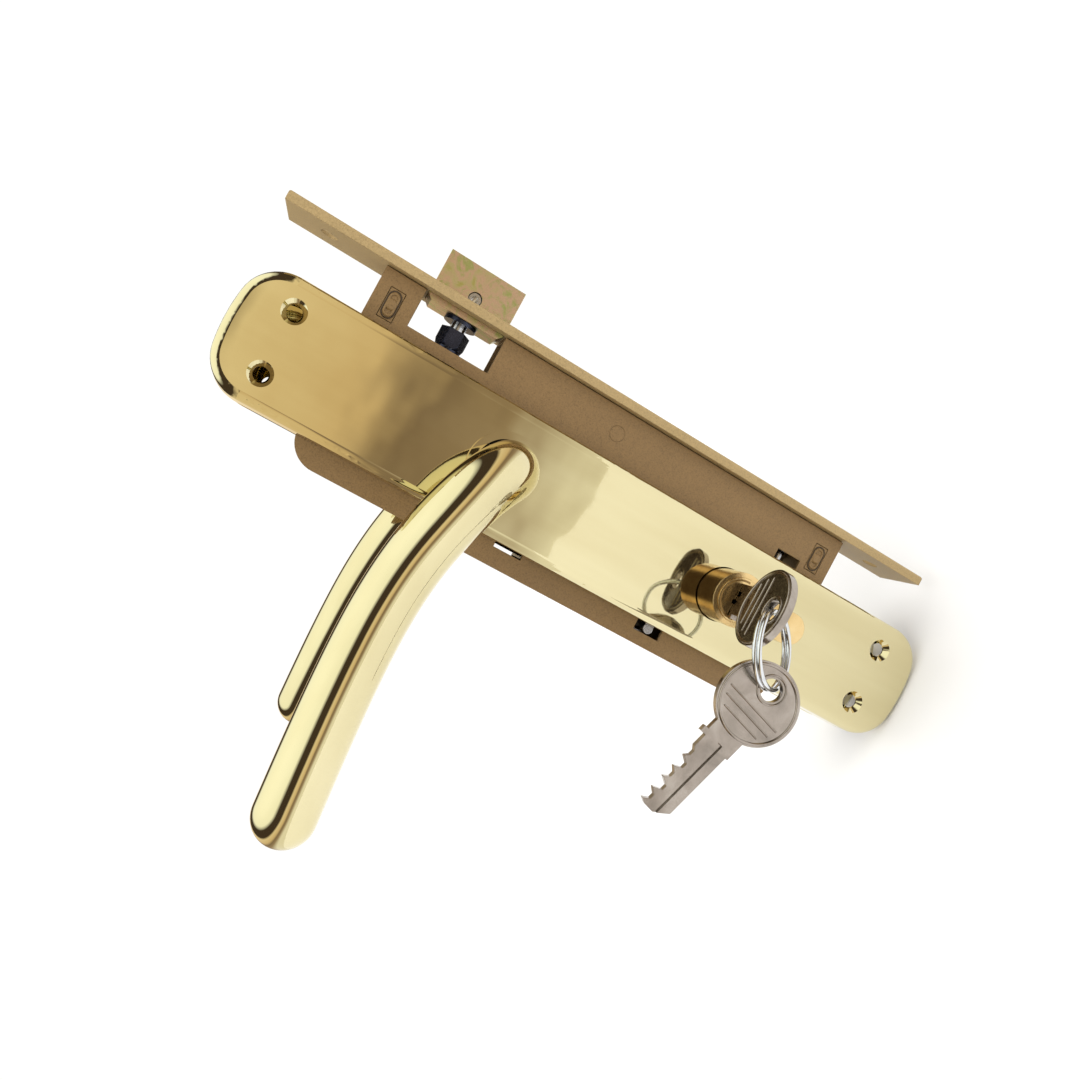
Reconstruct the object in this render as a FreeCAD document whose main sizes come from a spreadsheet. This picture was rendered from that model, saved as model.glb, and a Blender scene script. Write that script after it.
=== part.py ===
import FreeCAD, Part
import math
import os
import re

import Sketcher

# A mortise lock with lever handles on long plates and a euro profile cylinder.
# Origin: middle of the forend's outer face, half way between its two fixing holes.
# +X points out of the door edge, +Z up, -Y to the front plate and the keys.

Vector = FreeCAD.Vector
Rotation = FreeCAD.Rotation
Placement = FreeCAD.Placement
X_AXIS = Vector(1, 0, 0)
Y_AXIS = Vector(0, 1, 0)
Z_AXIS = Vector(0, 0, 1)

doc = FreeCAD.newDocument("MortiseLock")

# ---------------------------------------------------------------- sizes, in mm and degrees

SIZES = {
    "forend_length": 235.0,
    "forend_width": 22.0,
    "forend_thick": 3.0,
    "forend_round": 0.8,
    "fix_spacing": 208.0,
    "fix_hole": 5.4,
    "fix_head": 9.6,
    "case_height": 172.0,
    "case_drop": 0.7,
    "case_behind": 26.8,
    "case_width": 15.0,
    "case_corner": 9.0,
    "sheet_thick": 1.2,
    "cover_gap": 0.4,
    "slide_gap": 0.3,
    "fit_gap": 0.05,
    "backset": 39.5,
    "spindle_height": 28.4,
    "axis_distance": 80.0,
    "latch_rise": 30.3,
    "latch_height": 25.3,
    "latch_thick": 12.0,
    "latch_reach": 11.3,
    "latch_body": 16.3,
    "latch_bevel": 10.4,
    "latch_nose": 3.0,
    "shank_dia": 5.0,
    "shank_behind": 10.5,
    "shank_tip": 4.0,
    "pin_place": 1.9,
    "pin_hole": 4.4,
    "pin_dia": 3.9,
    "pin_bore": 2.2,
    "washer_dia": 10.6,
    "washer_thick": 1.2,
    "nut_flats": 8.2,
    "nut_front": 8.4,
    "nut_length": 5.6,
    "locknut_dia": 8.6,
    "locknut_length": 1.9,
    "arm_radius": 18.5,
    "arm_tip": 2.4,
    "arm_width": 3.6,
    "arm_thick": 5.0,
    "handle_swing": 36.0,
    "yoke_clear": 0.5,
    "yoke_leg": 3.5,
    "yoke_skirt": 14.7,
    "spring_rise": 4.2,
    "spring_wall": 1.1,
    "seat_behind": 18.4,
    "seat_thick": 2.0,
    "hub_dia": 22.0,
    "journal_dia": 17.0,
    "journal_gap": 0.08,
    "square_size": 8.0,
    "tail_reach": 17.0,
    "tail_tip": 2.0,
    "return_floor": 9.0,
    "return_dia": 7.0,
    "spindle_reach": 26.0,
    "bolt_height": 26.0,
    "bolt_thick": 10.0,
    "bolt_rise": 30.6,
    "bolt_length": 33.5,
    "bolt_inset": 0.5,
    "bolt_slot": 8.0,
    "tail_thick": 3.0,
    "tail_behind": 18.0,
    "tail_top": 14.0,
    "tail_strip": 16.0,
    "lobe_width": 14.0,
    "lobe_drop": 10.2,
    "cam_radius": 13.0,
    "cam_tip": 2.0,
    "cam_neck": 3.2,
    "cam_hub": 12.4,
    "cam_thick": 9.8,
    "cam_swing": 80.0,
    "cam_clear": 0.6,
    "post_before": 2.5,
    "post_dia": 3.6,
    "cylinder_dia": 17.0,
    "cylinder_drop": 33.0,
    "leaf_width": 10.0,
    "cylinder_half": 29.7,
    "cam_slot": 10.3,
    "plug_dia": 12.5,
    "plug_head": 13.8,
    "plug_head_thick": 1.0,
    "keyway_width": 2.5,
    "keyway_top": 4.6,
    "pin_pitch": 4.0,
    "pin_start": 5.5,
    "tumbler_dia": 2.8,
    "screw_drop": 19.5,
    "screw_dia": 5.0,
    "plate_length": 244.8,
    "plate_width": 39.2,
    "plate_drop": 6.0,
    "plate_base": 7.9,
    "plate_face": 17.2,
    "plate_corner": 12.5,
    "plate_crown": 3.4,
    "plate_round": 2.8,
    "plate_taper": 4.0,
    "plate_wall": 1.9,
    "plate_hole_rise": 100.4,
    "plate_hole_span": 211.9,
    "plate_hole_gauge": 19.4,
    "plate_hole_dia": 4.4,
    "plate_hole_head": 7.4,
    "collar_dia": 23.0,
    "collar_thick": 1.4,
    "collar_spigot": 20.4,
    "neck_dia": 17.8,
    "tip_dia": 16.4,
    "bush_dia": 25.0,
    "bush_bore": 14.0,
    "bush_length": 4.6,
    "clip_dia": 18.0,
    "clip_thick": 0.9,
    "lever_reach": 104.0,
    "lever_stand": 42.0,
    "lever_lean": 12.5,
    "lever_arch": 15.3,
    "lever_elbow": 14.0,
    "key_bow": 24.0,
    "key_thick": 2.2,
    "key_neck": 10.0,
    "key_blade": 8.6,
    "key_shoulder": 16.8,
    "key_tip": 41.0,
    "key_hole": 6.5,
    "key_hole_place": 5.2,
    "ring_dia": 21.5,
    "ring_wire": 1.4,
    "spare_swing": 18.8,
    "spare_tilt": 8.0,
    "window_depth": 15.5,
    "window_height": 27.1,
    "stake_place": 12.65,
    "stake_rise": 79.75,
    "stake_long": 9.2,
    "stake_wide": 4.6,
    "rivet_dia": 5.0,
    "rivet_place": 11.0,
    "post_body": 7.0,
    "case_screw": 3.9,
    "screw_sink": 1.6,
    "lug_behind": 20.5,
    "lug_drop": 67.6,
    "lug_dia": 3.4,
    "grub_dia": 4.0,
    "grub_place": 21.5,
}

KEY_CUTS = (1.0, 2.1, 1.4, 2.4, 1.7)

sheet = doc.addObject("Spreadsheet::Sheet", "sizes")
for row, (alias, amount) in enumerate(SIZES.items(), start=1):
    sheet.set("A%d" % row, alias)
    sheet.set("B%d" % row, str(amount))
    sheet.setAlias("B%d" % row, alias)
doc.recompute()

ALIAS = re.compile(r"\b(" + "|".join(sorted(SIZES, key=len, reverse=True)) + r")\b")

# Places that many pieces share, as expressions of the sheet.
CASE_TOP = "(case_height/2-case_drop)"
CASE_BOTTOM = "(-case_height/2-case_drop)"
CASE_SIDE = "(case_width/2)"
INNER = "(case_width/2-sheet_thick)"
ACROSS = ("-(case_width/2-sheet_thick-fit_gap)", "case_width/2-sheet_thick-fit_gap")
ARM_SIDES = ("-arm_thick/2", "arm_thick/2")
TAIL_SIDES = ("-tail_thick/2", "tail_thick/2")
TAIL_SLOT = ("-tail_thick/2-fit_gap", "tail_thick/2+fit_gap")
SPINDLE_Z = "spindle_height"
CYLINDER_Z = "(spindle_height-axis_distance)"
LATCH_Z = "(spindle_height+latch_rise)"
BOLT_Z = "(spindle_height-axis_distance+bolt_rise)"
SCREW_Z = "(spindle_height-axis_distance-screw_drop)"
STAKE_TOP = "(stake_rise-case_drop)"
STAKE_BOTTOM = "(-stake_rise-case_drop)"
LATCH_BACK = "(latch_reach-latch_body)"
LEAF_Z = "(spindle_height-axis_distance-cylinder_drop+cylinder_dia/2+leaf_width/2)"
ARM_X = "(-backset+arm_radius*sin(handle_swing/2*1deg))"
CAM_X = "(-backset-cam_radius*sin(cam_swing/2*1deg))"
LUG_X = "(backset+lug_behind)"
TAIL_X = "(backset+tail_behind)"
SEAT_X = "(backset+seat_behind)"
SHANK_X = "(backset+shank_behind)"
POST_X = "(backset-post_before)"


def size(alias):
    return float(sheet.get(alias))


def bind(thing, prop, expression):
    thing.setExpression(prop, ALIAS.sub(r"sizes.\1", expression))


# ---------------------------------------------------------------- Part helpers

AXIS_TURN = {
    "X": Rotation(Y_AXIS, 90),
    "Y": Rotation(X_AXIS, -90),
    "Z": Rotation(),
}


def place(thing, at):
    for letter, expression in zip("xyz", at):
        bind(thing, "Placement.Base." + letter, expression)


def box(name, x, y, z):
    """A block between two expressions on each axis."""
    block = doc.addObject("Part::Box", name)
    bind(block, "Length", "(%s)-(%s)" % (x[1], x[0]))
    bind(block, "Width", "(%s)-(%s)" % (y[1], y[0]))
    bind(block, "Height", "(%s)-(%s)" % (z[1], z[0]))
    place(block, (x[0], y[0], z[0]))
    return block


def rod(name, axis, at, radius, length):
    """A cylinder that starts at a point and runs along +X, +Y or +Z."""
    bar = doc.addObject("Part::Cylinder", name)
    bar.Placement.Rotation = AXIS_TURN[axis]
    bind(bar, "Radius", radius)
    bind(bar, "Height", length)
    place(bar, at)
    return bar


def cone(name, axis, at, radius_1, radius_2, length):
    taper = doc.addObject("Part::Cone", name)
    taper.Placement.Rotation = AXIS_TURN[axis]
    bind(taper, "Radius1", radius_1)
    bind(taper, "Radius2", radius_2)
    bind(taper, "Height", length)
    place(taper, at)
    return taper


def hexagon(name, at, flats, length):
    """A hexagonal bar along +X."""
    nut = doc.addObject("Part::Prism", name)
    nut.Polygon = 6
    nut.Placement.Rotation = AXIS_TURN["X"]
    bind(nut, "Circumradius", "(%s)/1.7320508" % flats)
    bind(nut, "Height", length)
    place(nut, at)
    return nut


def fuse(name, pieces):
    joined = doc.addObject("Part::MultiFuse", name)
    joined.Shapes = pieces
    joined.Refine = True
    return joined


def common(name, first, second):
    overlap = doc.addObject("Part::MultiCommon", name)
    overlap.Shapes = [first, second]
    return overlap


def cut(name, base, tools):
    result = doc.addObject("Part::Cut", name)
    result.Base = base
    result.Tool = tools[0] if len(tools) == 1 else fuse(name + "_tools", tools)
    return result


def group(name, pieces):
    """Separate solids that share one node."""
    cluster = doc.addObject("Part::Compound", name)
    cluster.Links = pieces
    return cluster


def turn_about_y(thing, degrees):
    thing.Placement.Rotation = Rotation(Y_AXIS, 1)
    bind(thing, "Placement.Rotation.Angle", degrees)


def mirror(name, source):
    """The same piece on the rear side of the door."""
    copy = doc.addObject("Part::Mirroring", name)
    copy.Source = source
    copy.Normal = (0, 1, 0)
    copy.Base = (0, 0, 0)
    return copy


# ---------------------------------------------------------------- PartDesign helpers

def new_body(name):
    return doc.addObject("PartDesign::Body", name)


def new_sketch(body, role, offset="0"):
    """A sketch on one of the body's own planes, moved along the plane's normal."""
    sketch = body.newObject("Sketcher::SketchObject", body.Name + "_sketch")
    for feature in body.Origin.OriginFeatures:
        if feature.Role == role:
            sketch.AttachmentSupport = [(feature, "")]
    sketch.MapMode = "FlatFace"
    bind(sketch, ".AttachmentOffset.Base.z", offset)
    return sketch


def fix_point(sketch, geometry, position, x, y, start=(1.0, 1.0)):
    """Ties a point of a sketch to two expressions; start is where it lies before they are worked out."""
    for kind, expression, value in (("DistanceX", x, start[0]), ("DistanceY", y, start[1])):
        number = sketch.addConstraint(Sketcher.Constraint(kind, -1, 1, geometry, position, value))
        label = "%s_%d_%d" % (kind, geometry, position)
        sketch.renameConstraint(number, label)
        bind(sketch, "Constraints." + label, expression)


def draw_polygon(sketch, points):
    """A closed outline of straight lines, each corner held by its two expressions."""
    count = len(points)
    ring = [Vector(10 * math.cos(2 * math.pi * i / count), 10 * math.sin(2 * math.pi * i / count), 0)
            for i in range(count)]
    lines = [Part.LineSegment(ring[i], ring[(i + 1) % count]) for i in range(count)]
    ids = list(sketch.addGeometry(lines, False))
    for i in range(count):
        sketch.addConstraint(Sketcher.Constraint("Coincident", ids[i], 2, ids[(i + 1) % count], 1))
    for i, (x, y) in enumerate(points):
        fix_point(sketch, ids[i], 1, x, y)


def draw_rectangle(sketch, x, y):
    draw_polygon(sketch, [(x[0], y[0]), (x[1], y[0]), (x[1], y[1]), (x[0], y[1])])


def draw_circle(sketch, x, y, radius):
    number = sketch.addGeometry(Part.Circle(Vector(0, 0, 0), Z_AXIS, 1.0), False)
    fix_point(sketch, number, 3, x, y)
    rule = sketch.addConstraint(Sketcher.Constraint("Radius", number, 1.0))
    label = "Radius_%d" % number
    sketch.renameConstraint(rule, label)
    bind(sketch, "Constraints." + label, radius)


def pad(body, sketch, length, symmetric=False):
    feature = body.newObject("PartDesign::Pad", body.Name + "_pad")
    feature.Profile = sketch
    bind(feature, "Length", length)
    if symmetric:
        feature.SideType = "Symmetric"
    return feature


def pocket_through(body, sketch):
    """Cuts both ways through everything, so its direction cannot be wrong."""
    feature = body.newObject("PartDesign::Pocket", body.Name + "_pocket")
    feature.Profile = sketch
    feature.Type = "ThroughAll"
    feature.SideType = "Symmetric"
    return feature


def pocket_blind(body, sketch, depth):
    feature = body.newObject("PartDesign::Pocket", body.Name + "_pocket")
    feature.Profile = sketch
    bind(feature, "Length", depth)
    return feature


def round_edges(body, test, radius, kind="PartDesign::Fillet"):
    """Fillets or chamfers the edges of the body's tip that pass a test."""
    doc.recompute()
    base = body.Tip
    names = ["Edge%d" % (i + 1) for i, edge in enumerate(base.Shape.Edges) if test(edge)]
    feature = body.newObject(kind, body.Name + "_edges")
    feature.Base = (base, names)
    bind(feature, "Radius" if kind == "PartDesign::Fillet" else "Size", radius)
    return feature


def runs_along(edge, axis):
    return edge.Curve.TypeId == "Part::GeomLine" and abs(edge.Curve.Direction.dot(axis)) > 0.999


# ---------------------------------------------------------------- forend and case

def is_front_rim(edge):
    """The outline of the forend's outer face."""
    flat = abs(edge.BoundBox.XMin) < 1e-6 and abs(edge.BoundBox.XMax) < 1e-6
    half_width = size("forend_width") / 2
    half_length = size("forend_length") / 2
    middle = edge.BoundBox.Center
    return flat and (abs(abs(middle.y) - half_width) < 1e-6 or abs(abs(middle.z) - half_length) < 1e-6)


def make_forend():
    body = new_body("forend")
    outline = new_sketch(body, "YZ_Plane", "-forend_thick")
    draw_rectangle(outline, ("-forend_width/2", "forend_width/2"), ("-forend_length/2", "forend_length/2"))
    pad(body, outline, "forend_thick")
    openings = new_sketch(body, "YZ_Plane")
    latch_half = "(latch_height/2+slide_gap)"
    draw_rectangle(openings, ("-latch_thick/2-slide_gap", "latch_thick/2+slide_gap"),
                   (LATCH_Z + "-" + latch_half, LATCH_Z + "+" + latch_half))
    bolt_half = "(bolt_height/2+slide_gap)"
    draw_rectangle(openings, ("-bolt_thick/2-slide_gap", "bolt_thick/2+slide_gap"),
                   (BOLT_Z + "-" + bolt_half, BOLT_Z + "+" + bolt_half))
    for height in ("fix_spacing/2", "-fix_spacing/2"):
        draw_circle(openings, "0", height, "fix_hole/2")
    for height in (STAKE_TOP, STAKE_BOTTOM):
        draw_circle(openings, "0", height, "case_screw/2+fit_gap")
    draw_circle(openings, "0", SCREW_Z, "screw_dia/2+fit_gap")
    pocket_through(body, openings)
    round_edges(body, is_front_rim, "forend_round")
    fix_radius = size("fix_hole") / 2
    screw_radius = size("screw_dia") / 2 + size("fit_gap")
    case_radius = size("case_screw") / 2 + size("fit_gap")

    def countersunk(radius):
        def test(edge):
            at_front = abs(edge.BoundBox.XMin) < 1e-6 and abs(edge.BoundBox.XMax) < 1e-6
            return at_front and edge.Curve.TypeId == "Part::GeomCircle" and abs(edge.Curve.Radius - radius) < 1e-6
        return test

    round_edges(body, countersunk(fix_radius), "(fix_head-fix_hole)/2", "PartDesign::Chamfer")
    round_edges(body, countersunk(screw_radius), "screw_sink", "PartDesign::Chamfer")
    round_edges(body, countersunk(case_radius), "screw_sink", "PartDesign::Chamfer")
    return body


def is_back_corner(edge):
    """The two upright corners of the case that lie deepest in the door."""
    deep = abs(edge.BoundBox.XMax + size("backset") + size("case_behind")) < 1e-6
    return deep and runs_along(edge, Y_AXIS)


def case_openings(body):
    """The openings that the base and the cover have in common."""
    doc.recompute()
    sketch = new_sketch(body, "XZ_Plane")
    window_half = "window_height/2"
    draw_rectangle(sketch, ("-window_depth", "-forend_thick+1"),
                   (LATCH_Z + "-" + window_half, LATCH_Z + "+" + window_half))
    draw_circle(sketch, "-backset", SPINDLE_Z, "journal_dia/2+journal_gap")
    for height in (STAKE_TOP, STAKE_BOTTOM):
        draw_rectangle(sketch, ("-stake_place-stake_long/2-0.2", "-stake_place+stake_long/2+0.2"),
                       (height + "-stake_wide/2-0.2", height + "+stake_wide/2+0.2"))
    for x, z in POSTS:
        draw_circle(sketch, x, z, "rivet_dia/2+fit_gap")
    draw_rectangle(sketch, ("-24", "-16"), (SCREW_Z + "-4.6", SCREW_Z + "+4.6"))
    draw_rectangle(sketch, ("-" + LUG_X + "-2.1", "-" + LUG_X + "+2.1"),
                   ("spindle_height-lug_drop-4.9", "spindle_height-lug_drop+4.6"))
    draw_rectangle(sketch, ("-backset-20.8", "-backset-12"), ("return_floor-0.2", "return_floor+9.4"))
    draw_circle(sketch, "-backset", CYLINDER_Z, "cylinder_dia/2+slide_gap")
    pocket_through(body, sketch)
    leaf = new_sketch(body, "XZ_Plane")
    draw_rectangle(leaf, ("-backset-leaf_width/2-slide_gap", "-backset+leaf_width/2+slide_gap"),
                   (LEAF_Z, CYLINDER_Z))
    pocket_through(body, leaf)
    leaf_end = new_sketch(body, "XZ_Plane")
    draw_circle(leaf_end, "-backset", LEAF_Z, "leaf_width/2+slide_gap")
    pocket_through(body, leaf_end)


# Posts that hold the two sheets apart: one beside the spindle, two deep in the corners.
POSTS = (
    ("-rivet_place", "0.7"),
    ("-backset-case_behind+10.3", CASE_TOP + "-11"),
    ("-backset-case_behind+10.3", CASE_BOTTOM + "+11"),
)


def make_case_base():
    """A pressed tray: the rear sheet with walls all round, open to the front."""
    body = new_body("case_base")
    outline = new_sketch(body, "XZ_Plane", "-case_width/2")
    draw_rectangle(outline, ("-backset-case_behind", "-forend_thick"), (CASE_BOTTOM, CASE_TOP))
    pad(body, outline, "case_width-sheet_thick")
    doc.recompute()
    hollow = new_sketch(body, "XZ_Plane", INNER)
    draw_rectangle(hollow, ("-backset-case_behind+sheet_thick", "-forend_thick-sheet_thick"),
                   (CASE_BOTTOM + "+sheet_thick", CASE_TOP + "-sheet_thick"))
    pocket_blind(body, hollow, "case_width-2*sheet_thick")

    def is_inner_corner(edge):
        depth = size("backset") + size("case_behind") - size("sheet_thick")
        return abs(edge.BoundBox.XMax + depth) < 1e-6 and runs_along(edge, Y_AXIS)

    round_edges(body, is_inner_corner, "case_corner-sheet_thick")
    round_edges(body, is_back_corner, "case_corner")
    case_openings(body)
    doc.recompute()
    wall = new_sketch(body, "YZ_Plane", "-forend_thick")
    bolt_half = "(bolt_height/2+slide_gap)"
    draw_rectangle(wall, ("-bolt_thick/2-slide_gap", "bolt_thick/2+slide_gap"),
                   (BOLT_Z + "-" + bolt_half, BOLT_Z + "+" + bolt_half))
    draw_circle(wall, "0", SCREW_Z, "screw_dia/2+slide_gap")
    for height in (STAKE_TOP, STAKE_BOTTOM):
        draw_circle(wall, "0", height, "case_screw/2+slide_gap")
    pocket_blind(body, wall, "sheet_thick+0.5")
    return body


def make_case_cover():
    """The flat front sheet, which stops just short of the forend."""
    body = new_body("case_cover")
    outline = new_sketch(body, "XZ_Plane", INNER)
    draw_rectangle(outline, ("-backset-case_behind", "-forend_thick-cover_gap"), (CASE_BOTTOM, CASE_TOP))
    pad(body, outline, "sheet_thick")
    round_edges(body, is_back_corner, "case_corner")
    case_openings(body)
    return body


def make_spacer(name, height):
    """A bar behind the forend, with a staked tenon through each sheet."""
    bar = box(name + "_bar", ("-stake_place-6.2", "-forend_thick-sheet_thick-fit_gap"),
              ACROSS, (height + "-3.6", height + "+3.6"))
    tenon = box(name + "_tenon", ("-stake_place-stake_long/2", "-stake_place+stake_long/2"),
                ("-" + CASE_SIDE, CASE_SIDE), (height + "-stake_wide/2", height + "+stake_wide/2"))
    thread = rod(name + "_thread", "X", ("-stake_place-2", "0", height), "case_screw/2+fit_gap", "stake_place")
    return cut(name, fuse(name + "_solid", [bar, tenon]), [thread])


def make_post(name, x, z):
    ends = rod(name + "_ends", "Y", (x, "-" + CASE_SIDE, z), "rivet_dia/2", "case_width")
    middle = rod(name + "_middle", "Y", (x, "-" + INNER + "+fit_gap", z), "post_body/2",
                 "case_width-2*sheet_thick-2*fit_gap")
    return fuse(name, [ends, middle])


def make_countersunk(name, height, radius, length):
    """A countersunk screw whose head lies flush in the forend."""
    shank = rod(name + "_shank", "X", ("-(%s)" % length, "0", height), radius, "(%s)-0.1" % length)
    head = cone(name + "_head", "X", ("-screw_sink", "0", height), radius, radius + "+screw_sink-0.15",
                "screw_sink-0.1")
    slot = box(name + "_slot", ("-0.9", "1"), ("-0.5", "0.5"), (height + "-6", height + "+6"))
    return cut(name, fuse(name + "_solid", [shank, head]), [slot])


# ---------------------------------------------------------------- latch

def make_latch_head():
    body = new_body("latch_head")
    sketch = new_sketch(body, "XY_Plane", LATCH_Z)
    half = "latch_thick/2"
    draw_polygon(sketch, [
        (LATCH_BACK, "-" + half),
        ("latch_reach", "-" + half),
        ("latch_reach", "-" + half + "+latch_nose"),
        ("latch_reach-latch_bevel", half),
        (LATCH_BACK, half),
    ])
    pad(body, sketch, "latch_height", symmetric=True)

    def is_rear_corner(edge):
        back = size("latch_reach") - size("latch_body")
        at_end = abs(edge.BoundBox.XMax - back) < 1e-6
        return at_end and runs_along(edge, Y_AXIS)

    round_edges(body, is_rear_corner, "1.5", "PartDesign::Chamfer")
    doc.recompute()
    cross = new_sketch(body, "XZ_Plane")
    draw_circle(cross, "pin_place", LATCH_Z, "pin_hole/2")
    pocket_through(body, cross)
    shank_hole = new_sketch(body, "YZ_Plane", "shank_tip")
    draw_circle(shank_hole, "0", LATCH_Z, "shank_dia/2+fit_gap")
    pocket_blind(body, shank_hole, "latch_body")
    return body


def make_latch_parts():
    shank = cut("latch_shank", rod("shank_bar", "X", ("-" + SHANK_X, "0", LATCH_Z), "shank_dia/2",
                                   SHANK_X + "+shank_tip-fit_gap"),
                [rod("shank_cross", "Y", ("pin_place", "-10", LATCH_Z), "pin_dia/2+fit_gap", "20")])
    pin = cut("latch_pin", rod("pin_bar", "Y", ("pin_place", "-latch_thick/2+0.4", LATCH_Z), "pin_dia/2",
                               "latch_thick-2"),
              [rod("pin_core", "Y", ("pin_place", "-10", LATCH_Z), "pin_bore/2", "20")])
    bore = "shank_dia/2+fit_gap"
    washer = cut("latch_washer",
                 rod("washer_disc", "X", (LATCH_BACK + "-washer_thick-fit_gap", "0", LATCH_Z), "washer_dia/2",
                     "washer_thick"),
                 [rod("washer_bore", "X", ("-20", "0", LATCH_Z), bore, "20")])
    nut = cut("latch_nut",
              common("nut_rounded", hexagon("nut_hex", ("-nut_front-nut_length", "0", LATCH_Z), "nut_flats",
                                                "nut_length"),
                         cone("nut_cone", "X", ("-nut_front-nut_length-1", "0", LATCH_Z), "nut_flats/2-0.2",
                              "nut_flats/2+3.2", "nut_length+4")),
              [rod("nut_bore", "X", ("-20", "0", LATCH_Z), bore, "20")])
    lock_front = "nut_front+nut_length+0.2"
    locknut = cut("latch_locknut",
                  rod("locknut_ring", "X", ("-(%s)-locknut_length" % lock_front, "0", LATCH_Z), "locknut_dia/2",
                      "locknut_length"),
                  [rod("locknut_bore", "X", ("-25", "0", LATCH_Z), bore, "25")])
    return [(shank, "latch_shank"), (pin, "latch_pin"), (washer, "latch_washer"), (nut, "latch_nut"),
            (locknut, "latch_locknut")]


def make_yoke():
    """The fork on the shank that the follower's arm pushes back."""
    inner = "(arm_tip+yoke_clear)"
    outer = "(arm_tip+yoke_clear+yoke_leg)"
    roof = "(spindle_height+arm_radius+arm_tip+1)"
    foot = "(spindle_height+latch_rise-yoke_skirt)"
    block = box("yoke_block", (ARM_X + "-" + outer, ARM_X + "+" + outer), ARM_SIDES,
                (foot, LATCH_Z))
    boss = rod("yoke_boss", "X", (ARM_X + "-" + outer, "0", LATCH_Z), "spring_rise+0.4", "2*" + outer)
    notch = box("yoke_notch", (ARM_X + "-" + inner, ARM_X + "+" + inner), ("-10", "10"), (foot + "-1", roof))
    bore = rod("yoke_bore", "X", ("-" + SHANK_X, "0", LATCH_Z), "shank_dia/2+fit_gap", SHANK_X)
    return cut("latch_yoke", fuse("yoke_solid", [block, boss]), [notch, bore])


def make_latch_spring():
    """The space of the coil spring round the shank, between the yoke and its seat."""
    back = "-" + SEAT_X + "+fit_gap"
    front = ARM_X + "-arm_tip-yoke_clear-yoke_leg-fit_gap"
    length = "(%s)-(%s)" % (front, back)
    sleeve = rod("latch_sleeve", "X", (back, "0", LATCH_Z), "spring_rise", length)
    core = rod("latch_core", "X", (back + "-1", "0", LATCH_Z), "spring_rise-spring_wall", length + "+2")
    return cut("latch_spring", sleeve, [core])


def make_spring_seat():
    plate = box("seat_plate", ("-" + SEAT_X + "-seat_thick", "-" + SEAT_X), ACROSS,
                (LATCH_Z + "-6", LATCH_Z + "+6"))
    return cut("latch_spring_seat", plate, [rod("seat_bore", "X", ("-" + SEAT_X + "-seat_thick-1", "0", LATCH_Z),
                                                "shank_dia/2+slide_gap", "seat_thick+2")])


# ---------------------------------------------------------------- follower, spindle and return spring

def make_follower():
    """The hub that the spindle turns, with one arm up to the yoke and one back to its spring."""
    hub = rod("hub_disc", "Y", ("0", "-" + INNER + "+slide_gap", "0"), "hub_dia/2",
              "case_width-2*sheet_thick-2*slide_gap")
    journal = rod("hub_journal", "Y", ("0", "-" + CASE_SIDE, "0"), "journal_dia/2", "case_width")
    arm = fuse("up_arm", [
        box("up_arm_bar", ("-arm_width/2", "arm_width/2"), ARM_SIDES, ("0", "arm_radius")),
        rod("up_arm_tip", "Y", ("0", "-arm_thick/2", "arm_radius"), "arm_tip", "arm_thick"),
    ])
    turn_about_y(arm, "handle_swing/2")
    tail = fuse("back_arm", [
        box("back_arm_bar", ("-tail_tip", "tail_tip"), ARM_SIDES, ("0", "tail_reach")),
        rod("back_arm_tip", "Y", ("0", "-arm_thick/2", "tail_reach"), "tail_tip", "arm_thick"),
    ])
    turn_about_y(tail, "handle_swing/2-90")
    square = box("hub_square", ("-square_size/2-fit_gap", "square_size/2+fit_gap"), ("-20", "20"),
                 ("-square_size/2-fit_gap", "square_size/2+fit_gap"))
    follower = cut("follower", fuse("follower_solid", [hub, journal, arm, tail]), [square])
    place(follower, ("-backset", "0", SPINDLE_Z))
    return follower


def make_return_spring():
    """The space of the coil spring that lifts the follower's back arm, and the seat below it."""
    x = "-backset-tail_reach*cos(handle_swing/2*1deg)"
    top = "spindle_height+tail_reach*sin(handle_swing/2*1deg)-tail_tip-1.3"
    sleeve = rod("return_sleeve", "Z", (x, "0", "return_floor"), "return_dia/2", "(%s)-return_floor" % top)
    core = rod("return_core", "Z", (x, "0", "return_floor-1"), "return_dia/2-spring_wall",
               "(%s)-return_floor+2" % top)
    spring = cut("return_spring", sleeve, [core])
    seat = box("return_spring_seat", (x + "-4.2", x + "+4.2"), ACROSS,
               ("return_floor-2.2", "return_floor-fit_gap"))
    return spring, seat


# ---------------------------------------------------------------- dead bolt

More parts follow.
